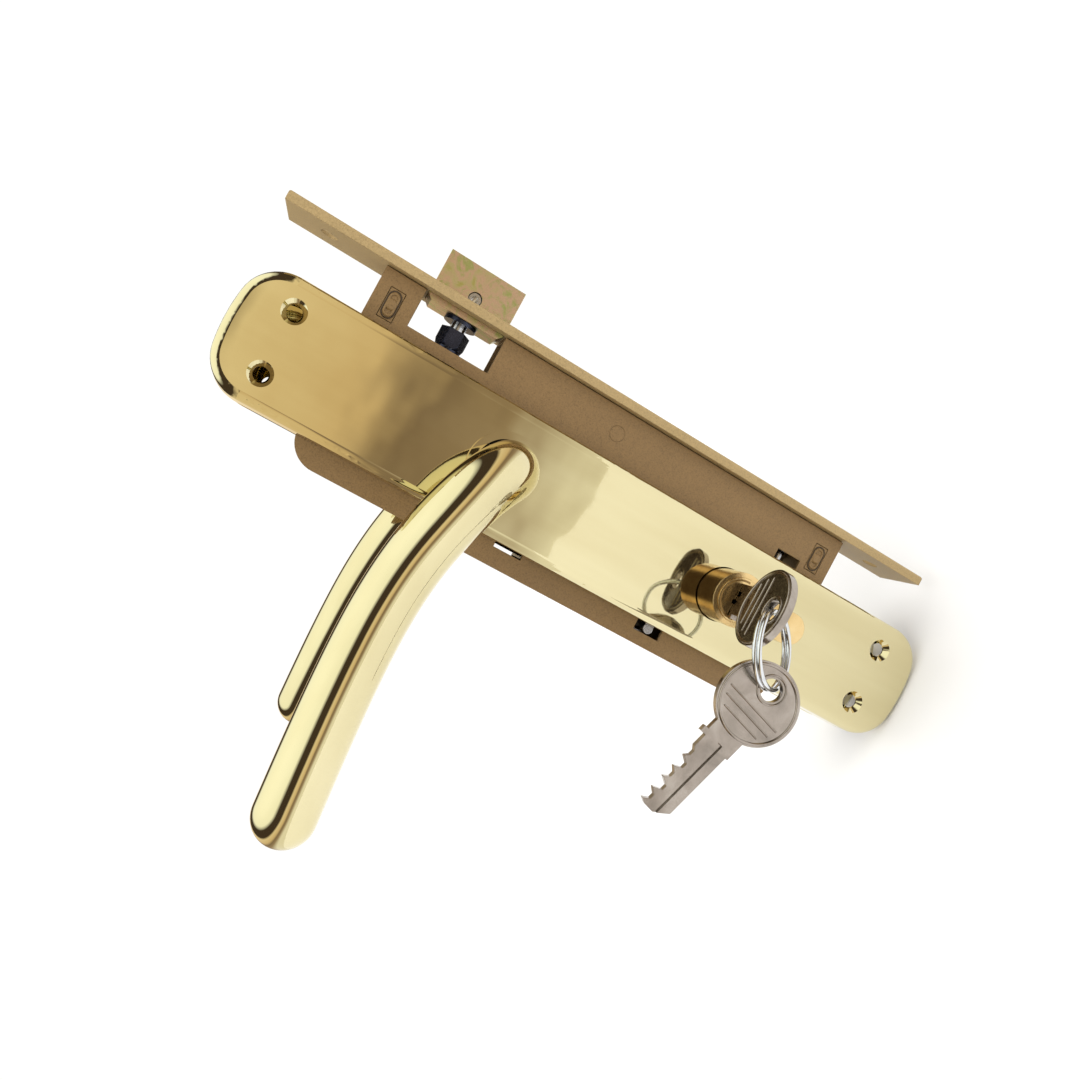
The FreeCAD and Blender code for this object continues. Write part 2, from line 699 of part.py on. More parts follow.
def make_bolt_parts():
    back = "-bolt_inset-bolt_length"
    low = BOLT_Z + "-bolt_height/2"
    high = BOLT_Z + "+bolt_height/2"
    block = box("bolt_block", (back, "-bolt_inset"), ("-bolt_thick/2", "bolt_thick/2"), (low, high))
    rivet_x = back + "+bolt_slot/2"
    rivet_heights = (BOLT_Z + "-5", BOLT_Z + "+4")
    slot = box("bolt_slot", (back + "-1", back + "+bolt_slot"), TAIL_SLOT,
               (low + "-1", "-tail_top+fit_gap"))
    holes = [rod("bolt_rivet_hole_%d" % i, "Y", (rivet_x, "-10", z), "1.5+fit_gap", "20")
             for i, z in enumerate(rivet_heights)]
    bolt = cut("dead_bolt", block, [slot] + holes)
    strip = box("tail_strip_block", ("-" + TAIL_X, back + "+bolt_slot-0.2"), TAIL_SIDES,
                ("-tail_top-tail_strip", "-tail_top"))
    lobe = box("tail_lobe", (CAM_X + "-lobe_width/2", CAM_X + "+lobe_width/2"), TAIL_SIDES,
               (CYLINDER_Z + "+lobe_drop", "-tail_top-1"))
    notch = box("tail_notch", (CAM_X + "-cam_tip-cam_clear", CAM_X + "+cam_tip+cam_clear"), ("-10", "10"),
                (CYLINDER_Z + "+lobe_drop-1", CYLINDER_Z + "+cam_radius+cam_tip+0.6"))
    throw = "2*cam_radius*sin(cam_swing/2*1deg)"
    post_half = "(post_dia/2+slide_gap)"
    way = box("tail_way", ("-" + POST_X + "-%s-0.3" % throw, "-" + POST_X + "+0.3"), ("-10", "10"),
              (BOLT_Z + "-" + post_half, BOLT_Z + "+" + post_half))
    way_ends = [rod("tail_way_back", "Y", ("-" + POST_X + "-%s-0.3" % throw, "-10", BOLT_Z), post_half, "20"),
                rod("tail_way_front", "Y", ("-" + POST_X + "+0.3", "-10", BOLT_Z), post_half, "20")]
    tail_holes = [rod("tail_rivet_hole_%d" % i, "Y", (rivet_x, "-10", z), "1.5+fit_gap", "20")
                  for i, z in enumerate(rivet_heights)]
    tail = cut("bolt_tail", fuse("tail_solid", [strip, lobe]), [notch, way] + way_ends + tail_holes)
    rivets = group("bolt_rivets", [rod("bolt_rivet_%d" % i, "Y", (rivet_x, "-bolt_thick/2+0.1", z), "1.5",
                                       "bolt_thick-0.2") for i, z in enumerate(rivet_heights)])
    post = rod("bolt_post", "Y", ("-" + POST_X, "-" + INNER + "+fit_gap", BOLT_Z), "post_dia/2",
               "case_width-2*sheet_thick-2*fit_gap")
    return bolt, tail, rivets, post


def make_tumbler():
    """The plate that holds the bolt thrown, its guiding lug and its leaf spring."""
    stud_z = "(spindle_height-lug_drop+29)"
    plate = box("tumbler_plate", ("-" + LUG_X + "-3.5", "-" + LUG_X + "+7.5"), ("2", "4"),
                ("spindle_height-lug_drop-5", "spindle_height-lug_drop+33"))
    hole = rod("tumbler_hole", "Y", ("-" + LUG_X, "-10", stud_z), "2.1", "20")
    lug = rod("tumbler_lug", "Y", ("-" + LUG_X, "-" + CASE_SIDE, "spindle_height-lug_drop"), "lug_dia/2",
              "case_width/2+3")
    tumbler = cut("bolt_tumbler", fuse("tumbler_solid", [plate, lug]), [hole])
    stud = rod("tumbler_stud", "Y", ("-" + LUG_X, "-" + INNER + "+fit_gap", stud_z), "2",
               "case_width-2*sheet_thick-2*fit_gap")
    sides = ("1.8", "4.2")
    leaf = box("spring_leaf", ("-" + LUG_X + "-4.7", "-" + LUG_X + "+8"), sides, (stud_z + "+5", stud_z + "+5.5"))
    leg = box("spring_leg", ("-" + LUG_X + "-4.7", "-" + LUG_X + "-4.2"), sides, (stud_z + "-6", stud_z + "+5.5"))
    return tumbler, stud, fuse("tumbler_spring", [leaf, leg])


# ---------------------------------------------------------------- cylinder, plugs, pins and cam

def euro_profile(name, grow, y_from, length):
    """A bar of the euro profile along +Y."""
    round_part = rod(name + "_round", "Y", ("-backset", y_from, CYLINDER_Z), "cylinder_dia/2+%s" % grow, length)
    leaf = box(name + "_leaf", ("-backset-leaf_width/2-%s" % grow, "-backset+leaf_width/2+%s" % grow),
               (y_from, "(%s)+(%s)" % (y_from, length)), (LEAF_Z, CYLINDER_Z))
    end = rod(name + "_end", "Y", ("-backset", y_from, LEAF_Z), "leaf_width/2+%s" % grow, length)
    return fuse(name, [round_part, leaf, end])


def pin_place(number):
    return "-cylinder_half+pin_start+%d*pin_pitch" % number


def make_cylinder_body():
    solid = euro_profile("cylinder_solid", "0", "-cylinder_half", "2*cylinder_half")
    plug_way = rod("plug_way", "Y", ("-backset", "-cylinder_half-1", CYLINDER_Z), "plug_dia/2+fit_gap",
                   "2*cylinder_half+2")
    heads = [rod("head_way_front", "Y", ("-backset", "-cylinder_half-1", CYLINDER_Z), "plug_head/2+fit_gap",
                 "plug_head_thick+1"),
             rod("head_way_rear", "Y", ("-backset", "cylinder_half-plug_head_thick", CYLINDER_Z),
                 "plug_head/2+fit_gap", "plug_head_thick+1")]
    cam_way = box("cam_way", ("-backset-20", "-backset+20"), ("-cam_slot/2", "cam_slot/2"),
                  (CYLINDER_Z + "-cam_radius-cam_tip-0.6", CYLINDER_Z + "+20"))
    bores = []
    for i in range(len(KEY_CUTS)):
        bores.append(rod("driver_bore_%d" % i, "Z", ("-backset", pin_place(i), CYLINDER_Z + "-cylinder_drop+10.3"),
                         "tumbler_dia/2+fit_gap", "cylinder_drop-12"))
    screw_way = rod("screw_way", "X", ("-backset-3", "0", SCREW_Z), "screw_dia/2+fit_gap", "20")
    return cut("cylinder_body", solid, [plug_way, cam_way, screw_way] + heads + bores)


def make_plug(name):
    """One plug, built upright on the front side: keyway open to the front."""
    barrel = rod(name + "_barrel", "Y", ("0", "-cylinder_half+fit_gap", "0"), "plug_dia/2",
                 "cylinder_half-cam_slot/2-0.3")
    head = rod(name + "_head", "Y", ("0", "-cylinder_half-0.3", "0"), "plug_head/2", "plug_head_thick+0.2")
    dish = cone(name + "_dish", "Y", ("0", "-cylinder_half-0.31", "0"), "plug_head/2-0.5", "plug_head/2-1.1", "0.5")
    half = "keyway_width/2"
    way_length = ("-cylinder_half-2", "-cam_slot/2+0.2")
    ways = [
        box(name + "_way", ("-" + half, half), way_length, ("-keyway_top", "keyway_top")),
        box(name + "_way_upper", ("-0.1", half + "+0.7"), way_length, ("1.2", "2.6")),
        box(name + "_way_lower", ("-%s-0.7" % half, "0.1"), way_length, ("-1.8", "-0.4")),
    ]
    chambers = [rod("%s_chamber_%d" % (name, i), "Z", ("0", pin_place(i), "-plug_dia/2-1"),
                    "tumbler_dia/2+fit_gap", "plug_dia/2")
                for i in range(len(KEY_CUTS))]
    clutch_seat = rod(name + "_clutch_seat", "Y", ("0", "-cam_slot/2-1.5", "0"), "3.1", "3")
    tools = [dish, clutch_seat] + ways + chambers
    return cut(name + "_upright", fuse(name + "_solid", [barrel, head]), tools)


def make_cam():
    hub = rod("cam_hub_disc", "Y", ("0", "-cam_thick/2", "0"), "cam_hub/2", "cam_thick")
    nose = fuse("cam_nose", [
        box("cam_finger", ("-cam_neck/2", "cam_neck/2"), ("-cam_thick/2", "cam_thick/2"), ("0", "cam_radius")),
        rod("cam_round", "Y", ("0", "-cam_thick/2", "cam_radius"), "cam_tip", "cam_thick"),
    ])
    turn_about_y(nose, "-cam_swing/2")
    bore = rod("cam_bore", "Y", ("0", "-10", "0"), "3.05", "20")
    cam = cut("cam", fuse("cam_solid", [hub, nose]), [bore])
    place(cam, ("-backset", "0", CYLINDER_Z))
    clutch = rod("cam_clutch", "Y", ("-backset", "-cam_slot/2-0.1", CYLINDER_Z), "3", "cam_slot-0.6")
    return cam, clutch


def make_pins():
    """Key pins stand on the key's cuts; drivers and their springs fill the leaf."""
    key_pins = []
    drivers = []
    springs = []
    for i, depth in enumerate(KEY_CUTS):
        stem = "plug_dia/2-key_blade/2+%s-0.3-1.6" % depth
        key_pins.append(fuse("key_pin_%d" % i, [
            rod("pin_stem", "Z", ("0", pin_place(i), "-plug_dia/2+0.25"), "tumbler_dia/2", stem),
            cone("pin_point", "Z", ("0", pin_place(i), "-plug_dia/2+0.25+" + stem), "tumbler_dia/2", "0.6", "1.6"),
        ]))
        drivers.append(rod("driver_pin_%d" % i, "Z", ("-backset", pin_place(i), CYLINDER_Z + "-plug_dia/2-5.6"),
                           "tumbler_dia/2", "5.5"))
        low = CYLINDER_Z + "-cylinder_drop+10.5"
        length = "(%s)-(%s)" % (CYLINDER_Z + "-plug_dia/2-5.7", low)
        sleeve = rod("driver_sleeve_%d" % i, "Z", ("-backset", pin_place(i), low), "tumbler_dia/2-0.05", length)
        core = rod("driver_core_%d" % i, "Z", ("-backset", pin_place(i), low + "-1"), "tumbler_dia/2-0.45",
                   length + "+2")
        springs.append(cut("driver_spring_%d" % i, sleeve, [core]))
    upright = group("key_pins_upright", key_pins)
    return upright, group("driver_pins", drivers), group("driver_springs", springs)


# ---------------------------------------------------------------- keys and ring

def make_key(name):
    """A flat key in its own frame: bow at the origin, blade along +Y, cuts on its -Z edge."""
    body = new_body(name)
    low = "-key_blade/2"
    high = "key_blade/2"
    outline = new_sketch(body, "YZ_Plane")
    start = "key_shoulder"
    points = [("8", "-key_neck/2"), (start + "-2.2", "-key_neck/2"), (start + "-2.2", "-key_neck/2-1.2"),
              (start + "-0.4", "-key_neck/2-1.2"), (start + "-0.4", low)]
    for i, depth in enumerate(KEY_CUTS):
        middle = "key_shoulder+pin_start+%d*pin_pitch" % i
        points += [(middle + "-1.9", low), (middle + "-0.7", low + "+%s" % depth),
                   (middle + "+0.7", low + "+%s" % depth), (middle + "+1.9", low)]
    points += [("key_tip-0.7", low), ("key_tip", low + "+1.5"), ("key_tip", "0.6"), ("key_tip-3", high),
               (start, high), (start, "key_neck/2"), ("8", "key_neck/2")]
    draw_polygon(outline, points)
    pad(body, outline, "key_thick", symmetric=True)
    doc.recompute()
    disc = new_sketch(body, "YZ_Plane")
    draw_circle(disc, "0", "0", "key_bow/2")
    pad(body, disc, "key_thick", symmetric=True)
    doc.recompute()
    eye = new_sketch(body, "YZ_Plane")
    draw_circle(eye, "-key_hole_place", "0", "key_hole/2")
    pocket_through(body, eye)
    for offset in ("-key_thick/2+0.75", "key_thick/2"):
        doc.recompute()
        groove = new_sketch(body, "YZ_Plane", offset)
        edge = "0.5" if offset == "key_thick/2" else "1.5"
        draw_rectangle(groove, ("key_shoulder-1.5", "key_tip+1"), (edge + "-0.7", edge + "+0.9"))
        pocket_blind(body, groove, "0.75")
    return body


def key_direction():
    """The way the spare key points: down the backset side and a little up."""
    angle = math.radians(size("spare_swing"))
    return Vector(-math.cos(angle), 0, math.sin(angle))


def ring_frame():
    """The ring's middle, its direction from the key in the lock to the spare, and its normal."""
    eye = key_eye()
    across = Vector(0.15, 0.62, -0.77)
    across.normalize()
    along = Vector(-0.91, -0.18, -0.38)
    along = along - across * along.dot(across)
    along.normalize()
    middle = eye + along * (size("ring_dia") / 2)
    return middle, along, along.cross(across)


def key_eye():
    bow_y = -size("cylinder_half") - size("key_shoulder")
    axis_z = size("spindle_height") - size("axis_distance")
    return Vector(-size("backset"), bow_y - size("key_hole_place"), axis_z)


def spare_placement():
    middle, along, normal = ring_frame()
    eye = middle + along * (size("ring_dia") / 2)
    way = key_direction()
    cuts = Vector(-way.z, 0, way.x)
    turn = Rotation(way.cross(cuts), way, cuts, "XYZ")
    turn = Rotation(way, size("spare_tilt")).multiply(turn)
    return Placement(eye + way * size("key_hole_place"), turn)


def make_ring():
    middle, along, normal = ring_frame()
    turns = []
    for side in (-1, 1):
        turn = doc.addObject("Part::Torus", "ring_turn")
        bind(turn, "Radius1", "ring_dia/2")
        bind(turn, "Radius2", "ring_wire/2")
        bind(turn, "Placement.Base.z", "%d*ring_wire*0.485" % side)
        turns.append(turn)
    ring = fuse("key_ring", turns)
    ring.Placement = Placement(middle, Rotation(Z_AXIS, normal))
    return ring


# ---------------------------------------------------------------- plates, collars, bushes and levers

def plate_outline(sketch, inset):
    """Straight sides and shallow crowned ends."""
    half = size("plate_width") / 2 - inset
    half_length = size("plate_length") / 2 - inset
    crown = size("plate_crown")
    bulge = (half * half + crown * crown) / (2 * crown)
    middle_x = -size("backset")
    middle_z = -size("plate_drop")
    spread = math.asin(half / bulge)
    shoulder = half_length - crown
    top = Vector(middle_x, middle_z + half_length - bulge, 0)
    bottom = Vector(middle_x, middle_z - half_length + bulge, 0)
    up = math.pi / 2
    right = middle_x + half
    left = middle_x - half
    high = middle_z + shoulder
    low = middle_z - shoulder
    curves = [
        Part.LineSegment(Vector(right, low, 0), Vector(right, high, 0)),
        Part.ArcOfCircle(Part.Circle(top, Z_AXIS, bulge), up - spread, up + spread),
        Part.LineSegment(Vector(left, high, 0), Vector(left, low, 0)),
        Part.ArcOfCircle(Part.Circle(bottom, Z_AXIS, bulge), -up - spread, -up + spread),
    ]
    ids = list(sketch.addGeometry(curves, False))
    for i in range(4):
        sketch.addConstraint(Sketcher.Constraint("Coincident", ids[i], 2, ids[(i + 1) % 4], 1))
    width = "(plate_width/2-%s)" % inset
    height = "(plate_length/2-plate_crown-%s)" % inset
    fix_point(sketch, ids[0], 1, "-backset+" + width, "-plate_drop-" + height, (right, low))
    fix_point(sketch, ids[0], 2, "-backset+" + width, "-plate_drop+" + height, (right, high))
    fix_point(sketch, ids[2], 1, "-backset-" + width, "-plate_drop+" + height, (left, high))
    fix_point(sketch, ids[2], 2, "-backset-" + width, "-plate_drop-" + height, (left, low))
    for number in (1, 3):
        rule = sketch.addConstraint(Sketcher.Constraint("Radius", ids[number], bulge))
        sketch.renameConstraint(rule, "crown_%d" % number)
        bind(sketch, "Constraints.crown_%d" % number,
             "(%s*%s+plate_crown*plate_crown)/(2*plate_crown)" % (width, width))


def plate_block(name, inset, depth):
    """A solid of the plate's form: tapered walls, round corners, soft front edge."""
    body = new_body(name)
    outline = new_sketch(body, "XZ_Plane", "plate_base")
    plate_outline(outline, inset)
    feature = pad(body, outline, depth)
    feature.TaperAngle = -size("plate_taper")
    wide = size("plate_width") / 2 - inset

    def is_corner(edge):
        middle = edge.BoundBox.Center
        slanted = edge.BoundBox.YLength > 1
        return slanted and abs(middle.x + size("backset")) > wide - 3

    round_edges(body, is_corner, "plate_corner-%s" % inset)
    front = -size("plate_base") - float(feature.Length)

    def is_front(edge):
        return abs(edge.BoundBox.YMin - front) < 1e-4 and abs(edge.BoundBox.YMax - front) < 1e-4

    round_edges(body, is_front, "plate_round-%s*0.5" % inset)
    return body


def make_plate():
    outer = plate_block("plate_outer", 0.0, "plate_face-plate_base")
    inner = plate_block("plate_inner", size("plate_wall"), "plate_face-plate_base-plate_wall")
    tools = [inner]
    for rise, name in (("plate_hole_rise", "top"), ("plate_hole_rise-plate_hole_span", "bottom")):
        for side in ("-", "+"):
            x = "-backset%splate_hole_gauge/2" % side
            tools.append(rod("plate_hole_%s" % name, "Y", (x, "-plate_face-1", rise), "plate_hole_dia/2", "20"))
            tools.append(cone("plate_sink_%s" % name, "Y", (x, "-plate_face-0.01", rise), "plate_hole_head/2",
                              "plate_hole_dia/2", "(plate_hole_head-plate_hole_dia)/2"))
    tools.append(rod("plate_neck_hole", "Y", ("-backset", "-plate_face-1", SPINDLE_Z),
                     "collar_spigot/2+fit_gap", "20"))
    tools.append(euro_profile("plate_cylinder_hole", "slide_gap", "-plate_face-1", "20"))
    return cut("front_plate", outer, tools)


def make_collar():
    flange = rod("collar_flange", "Y", ("-backset", "-plate_face-collar_thick", SPINDLE_Z), "collar_dia/2",
                 "collar_thick")
    spigot = rod("collar_spigot", "Y", ("-backset", "-plate_face-0.5", SPINDLE_Z), "collar_spigot/2",
                 "plate_wall+0.5")
    bore = rod("collar_bore", "Y", ("-backset", "-plate_face-5", SPINDLE_Z), "neck_dia/2+slide_gap", "20")
    return cut("front_collar", fuse("collar_solid", [flange, spigot]), [bore])


def make_bush():
    ring = rod("bush_ring", "Y", ("-backset", "-plate_face+plate_wall+fit_gap", SPINDLE_Z), "bush_dia/2",
               "bush_length")
    bore = rod("bush_bore", "Y", ("-backset", "-20", SPINDLE_Z), "bush_bore/2+fit_gap", "20")
    return cut("front_bush", ring, [bore])


def lever_route():
    """The middle line of the lever: out of the plate, round the elbow, then a low arch."""
    x = -size("backset")
    z = size("spindle_height")
    stand = size("lever_stand")
    reach = size("lever_reach")
    arch = size("lever_arch")
    elbow = size("lever_elbow")
    lean = size("lever_lean")
    start = -size("plate_face") + size("plate_wall") - size("slide_gap")
    neck_end = -stand + elbow + 3.5
    points = [
        Vector(x, start + 8, z),
        Vector(x, start + 4, z),
        Vector(x, start, z),
        Vector(x, (start + neck_end) / 2, z),
        Vector(x, neck_end, z),
        Vector(x - elbow * 0.43, -stand + elbow * 0.25, z + arch * 0.33),
        Vector(x - reach * 0.26, -stand, z + arch * 0.81),
        Vector(x - reach * 0.625, -stand - lean * 0.32, z + arch),
        Vector(x - reach, -stand - lean, z + arch * 0.87),
    ]
    route = Part.BSplineCurve()
    route.interpolate(points)
    return route, route.parameter(points[2])


def make_lever():
    """A round bar that thins a little to its round tip, bored square for the spindle."""
    route, first = lever_route()
    last = route.LastParameter
    stations = 21
    rings = []
    for i in range(stations):
        share = (i / (stations - 1)) ** 1.3
        where = first + (last - first) * share
        point = route.value(where)
        way = Vector(*route.tangent(where)[0]) if i > 0 else Vector(0, -1, 0)
        side = way.cross(Z_AXIS)
        side.normalize()
        radius = size("neck_dia") / 2 + (size("tip_dia") - size("neck_dia")) / 2 * share
        ring = Part.Circle(Vector(0, 0, 0), Z_AXIS, radius).toShape()
        ring.Placement = Placement(point, Rotation(side, way.cross(side), way, "ZXY"))
        rings.append(Part.Wire([ring]))
    bar = Part.makeLoft(rings, True)
    tip = Part.makeSphere(size("tip_dia") / 2, route.value(last), Vector(*route.tangent(last)[0]), 0, 90, 360)
    bar = bar.fuse(tip)
    x = -size("backset")
    z = size("spindle_height")
    face = size("plate_face") - size("plate_wall")
    gap = size("fit_gap")
    spigot_end = -face + size("bush_length") + 2
    spigot = Part.makeCylinder(size("bush_bore") / 2, spigot_end + face + 3, Vector(x, -face - 3, z), Y_AXIS)
    bar = bar.fuse(spigot)
    half = size("square_size") / 2 + gap
    depth = size("spindle_reach") + 0.3
    square = Part.makeBox(2 * half, depth, 2 * half, Vector(x - half, -depth, z - half))
    grub_end = Vector(x, -size("grub_place"), z)
    thread = Part.makeCylinder(size("grub_dia") / 2 + gap, 20, grub_end, Vector(0, 0, -1))
    return bar.cut([square, thread]).removeSplitter()


def plain_feature(name, shape):
    feature = doc.addObject("Part::Feature", name)
    feature.Shape = shape
    return feature


def make_handle_parts():
    lever = plain_feature("front_lever", make_lever())
    half = "square_size/2"
    spindle = box("spindle", ("-backset-" + half, "-backset+" + half), ("-spindle_reach", "spindle_reach"),
                  (SPINDLE_Z + "-" + half, SPINDLE_Z + "+" + half))
    grub = rod("front_grub", "Z", ("-backset", "-grub_place", SPINDLE_Z + "-neck_dia/2+0.3"), "grub_dia/2",
               "neck_dia/2-square_size/2-0.35")
    clip_y = "-plate_face+plate_wall+bush_length+0.4"
    clip = cut("front_clip",
               rod("clip_disc", "Y", ("-backset", clip_y, SPINDLE_Z), "clip_dia/2", "clip_thick"),
               [rod("clip_bore", "Y", ("-backset", "-20", SPINDLE_Z), "bush_bore/2+fit_gap", "20")])
    grubs = group("grub_screws", [grub, mirror("rear_grub", grub)])
    clips = group("lever_clips", [clip, mirror("rear_clip", clip)])
    return lever, spindle, grubs, clips


# ---------------------------------------------------------------- the assembly

nodes = {}


def keep(thing, label):
    thing.Label = label
    nodes[label] = thing


def build():
    keep(make_forend(), "forend")
    keep(make_case_base(), "case_base")
    keep(make_case_cover(), "case_cover")
    stakes = (("upper", STAKE_TOP), ("lower", STAKE_BOTTOM))
    keep(group("spacer_bars", [make_spacer(name + "_spacer", height) for name, height in stakes]), "spacer_bars")
    posts = [make_post("post_%d" % i, x, z) for i, (x, z) in enumerate(POSTS)]
    keep(group("case_posts", posts), "case_posts")
    screws = [make_countersunk(name + "_screw", height, "case_screw/2", "stake_place+1") for name, height in stakes]
    keep(group("forend_screws", screws), "forend_screws")
    keep(make_countersunk("cylinder_screw", SCREW_Z, "screw_dia/2", "backset+2"), "cylinder_screw")
    keep(make_latch_head(), "latch_head")
    for thing, label in make_latch_parts():
        keep(thing, label)
    keep(make_yoke(), "latch_yoke")
    keep(make_latch_spring(), "latch_spring")
    keep(make_spring_seat(), "latch_spring_seat")
    keep(make_follower(), "follower")
    return_spring, return_seat = make_return_spring()
    keep(return_spring, "return_spring")
    keep(return_seat, "return_spring_seat")
    bolt, tail, rivets, post = make_bolt_parts()
    keep(bolt, "dead_bolt")
    keep(tail, "bolt_tail")
    keep(rivets, "bolt_rivets")
    keep(post, "bolt_post")
    tumbler, stud, leaf = make_tumbler()
    keep(tumbler, "bolt_tumbler")
    keep(stud, "tumbler_stud")
    keep(leaf, "tumbler_spring")
    keep(make_cylinder_body(), "cylinder_body")
    cam, clutch = make_cam()
    keep(cam, "cam")
    keep(clutch, "cam_clutch")
    turned = Placement(Vector(-size("backset"), 0, size("spindle_height") - size("axis_distance")),
                       Rotation(Y_AXIS, 90))
    plug = make_plug("front_plug")
    plug.Placement = turned
    keep(plug, "front_plug")
    rear_plug = mirror("rear_plug", make_plug("rear_plug"))
    place(rear_plug, ("-backset", "0", CYLINDER_Z))
    keep(rear_plug, "rear_plug")
    key_pins, driver_pins, driver_springs = make_pins()
    key_pins.Placement = turned
    keep(key_pins, "key_pins")
    keep(driver_pins, "driver_pins")
    keep(driver_springs, "driver_springs")
    key = make_key("lock_key")
    bow = turned.multiply(Placement(Vector(0, -size("cylinder_half") - size("key_shoulder"), 0), Rotation()))
    key.Placement = bow
    keep(key, "lock_key")
    spare = make_key("spare_key")
    spare.Placement = spare_placement()
    keep(spare, "spare_key")
    keep(make_ring(), "key_ring")
    plate = make_plate()
    keep(plate, "front_plate")
    keep(mirror("rear_plate", plate), "rear_plate")
    collar = make_collar()
    keep(collar, "front_collar")
    keep(mirror("rear_collar", collar), "rear_collar")
    bush = make_bush()
    keep(bush, "front_bush")
    keep(mirror("rear_bush", bush), "rear_bush")
    lever, spindle, grubs, clips = make_handle_parts()
    keep(lever, "front_lever")
    keep(mirror("rear_lever", lever), "rear_lever")
    keep(spindle, "spindle")
    keep(grubs, "grub_screws")
    keep(clips, "lever_clips")


def check_and_write():
    doc.recompute()
    bad = [thing.Label for thing in doc.Objects if "Invalid" in thing.State or "Error" in thing.State]
    if bad:
        raise RuntimeError("failed objects: " + ", ".join(bad))
    os.makedirs("parts", exist_ok=True)
    for label, thing in nodes.items():
        shape = thing.Shape
        if shape.isNull() or not shape.isValid() or not shape.Solids:
            raise RuntimeError("bad shape: " + label)
    for label, thing in nodes.items():
        thing.Shape.exportStep(os.path.join("parts", label + ".step"))
        print(label, len(thing.Shape.Solids), round(thing.Shape.Volume, 1))


build()
check_and_write()
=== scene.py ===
import math

import bmesh
import bpy
from mathutils import Matrix, Vector


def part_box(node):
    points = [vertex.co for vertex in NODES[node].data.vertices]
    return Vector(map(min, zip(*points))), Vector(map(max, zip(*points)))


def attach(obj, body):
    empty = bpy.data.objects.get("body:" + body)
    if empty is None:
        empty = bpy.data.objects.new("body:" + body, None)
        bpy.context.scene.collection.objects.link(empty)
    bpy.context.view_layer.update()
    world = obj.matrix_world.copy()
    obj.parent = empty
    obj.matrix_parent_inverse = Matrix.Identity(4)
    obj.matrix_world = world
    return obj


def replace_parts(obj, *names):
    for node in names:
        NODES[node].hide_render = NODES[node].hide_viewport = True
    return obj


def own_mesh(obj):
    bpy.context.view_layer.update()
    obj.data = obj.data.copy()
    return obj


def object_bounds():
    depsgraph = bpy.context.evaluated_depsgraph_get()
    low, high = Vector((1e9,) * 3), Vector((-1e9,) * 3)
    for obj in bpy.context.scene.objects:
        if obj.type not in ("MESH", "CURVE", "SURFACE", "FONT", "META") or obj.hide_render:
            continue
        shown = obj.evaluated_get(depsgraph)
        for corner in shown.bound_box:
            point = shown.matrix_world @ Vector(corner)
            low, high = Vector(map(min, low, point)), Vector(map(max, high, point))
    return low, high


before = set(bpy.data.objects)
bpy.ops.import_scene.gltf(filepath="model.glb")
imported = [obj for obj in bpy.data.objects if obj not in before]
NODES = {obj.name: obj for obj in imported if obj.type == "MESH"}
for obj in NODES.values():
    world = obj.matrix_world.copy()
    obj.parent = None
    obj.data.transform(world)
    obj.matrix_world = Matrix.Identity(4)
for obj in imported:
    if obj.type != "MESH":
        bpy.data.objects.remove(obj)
cad_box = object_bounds()
MM = 0.001

# Where the lock's own axes are, in metres, as in the CAD.
BACKSET = 0.0395
SPINDLE = Vector((-BACKSET, 0.0, 0.0284))
LATCH_Z = 0.0587
CYLINDER_Z = -0.0516
STAKE_X = -0.01265
STAKES_Z = (0.07905, -0.08045)
EYE_PLACE = 5.2 * MM
NECK_RADIUS, TIP_RADIUS = 8.9, 8.2  # of the levers, in millimetres


# ---------------------------------------------------------------- materials

